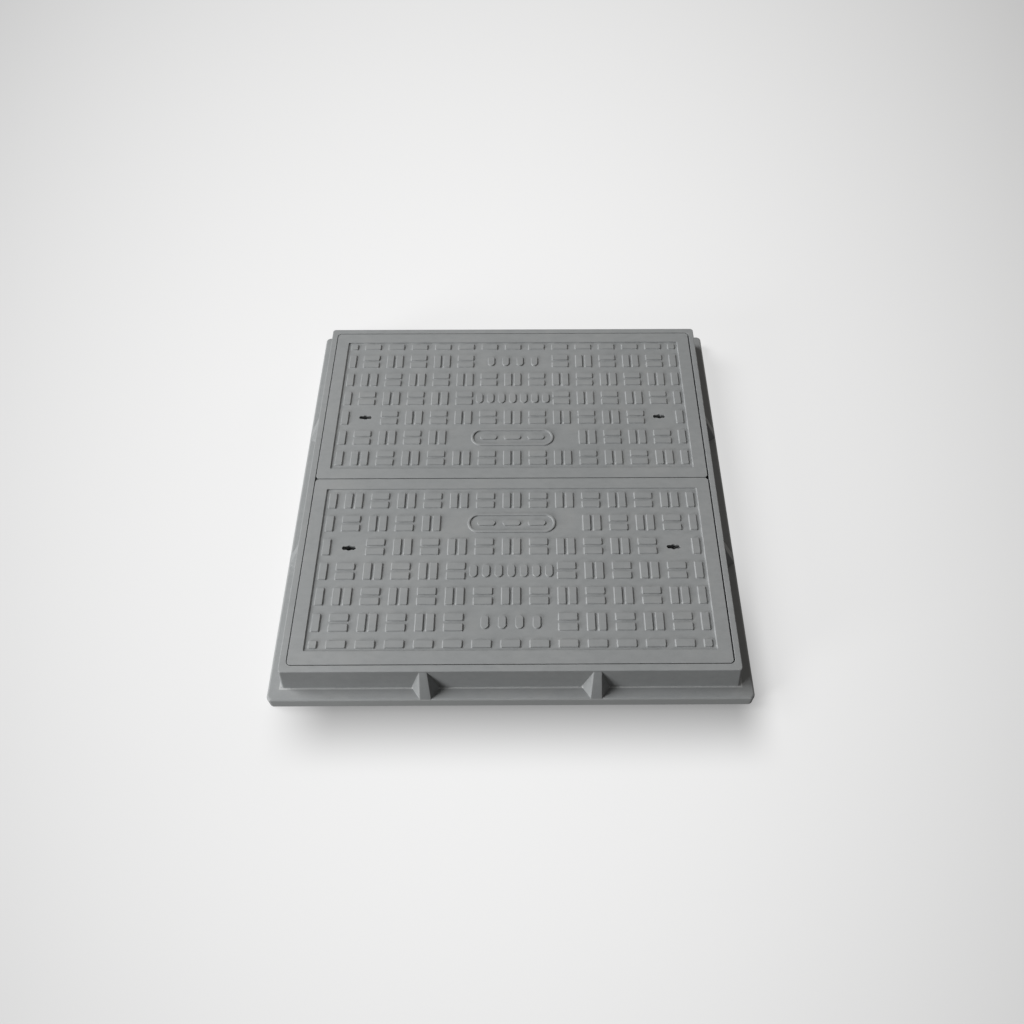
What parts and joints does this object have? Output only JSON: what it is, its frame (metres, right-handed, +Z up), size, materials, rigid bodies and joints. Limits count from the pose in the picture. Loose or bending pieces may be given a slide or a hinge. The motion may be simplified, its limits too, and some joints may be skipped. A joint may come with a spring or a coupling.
{
  "type": "manhole cover",
  "caption": "Square double-leaf access cover of moulded composite with raised tread, seated in a flanged frame over a lift-out support beam.",
  "frame": {"origin": "centre of the frame's bedding face, at the underside of the base flange", "axes": "+Z up out of the road, +X along the seam between the leaves, -Y towards the front leaf"},
  "size_m": [1.004, 1.004, 0.1],
  "materials": {
    "composite": "matt moulded",
    "galvanised": "hot-dip galvanised",
    "stainless": "satin",
    "black_plastic": "matt",
    "rubber": "matt"
  },
  "bodies": {
    "frame": {"frame": "composite", "beam_pad_left": "rubber", "beam_pad_right": "rubber"},
    "beam": {"support_beam": "galvanised", "seam_seal": "rubber"},
    "leaf_front": {"leaf_front": "composite", "gasket_front": "rubber", "key_plate_front_left": "stainless", "key_pot_front_left": "black_plastic", "key_screw_front_left_1": "stainless", "key_screw_front_left_2": "stainless", "key_plate_front_right": "stainless", "key_pot_front_right": "black_plastic", "key_screw_front_right_1": "stainless", "key_screw_front_right_2": "stainless"},
    "leaf_rear": {"leaf_rear": "composite", "gasket_rear": "rubber", "key_plate_rear_left": "stainless", "key_pot_rear_left": "black_plastic", "key_screw_rear_left_1": "stainless", "key_screw_rear_left_2": "stainless", "key_plate_rear_right": "stainless", "key_pot_rear_right": "black_plastic", "key_screw_rear_right_1": "stainless", "key_screw_rear_right_2": "stainless"}
  },
  "joints": [
    {"name": "beam_lift", "type": "slide", "parent": "frame", "child": "beam", "axis": [0, 0, 1], "range_m": [0, 0.2]},
    {"name": "leaf_front_lift", "type": "slide", "parent": "beam", "child": "leaf_front", "axis": [0, 0, 1], "range_m": [0, 0.25]},
    {"name": "leaf_rear_lift", "type": "slide", "parent": "beam", "child": "leaf_rear", "axis": [0, 0, 1], "range_m": [0, 0.25]}
  ]
}
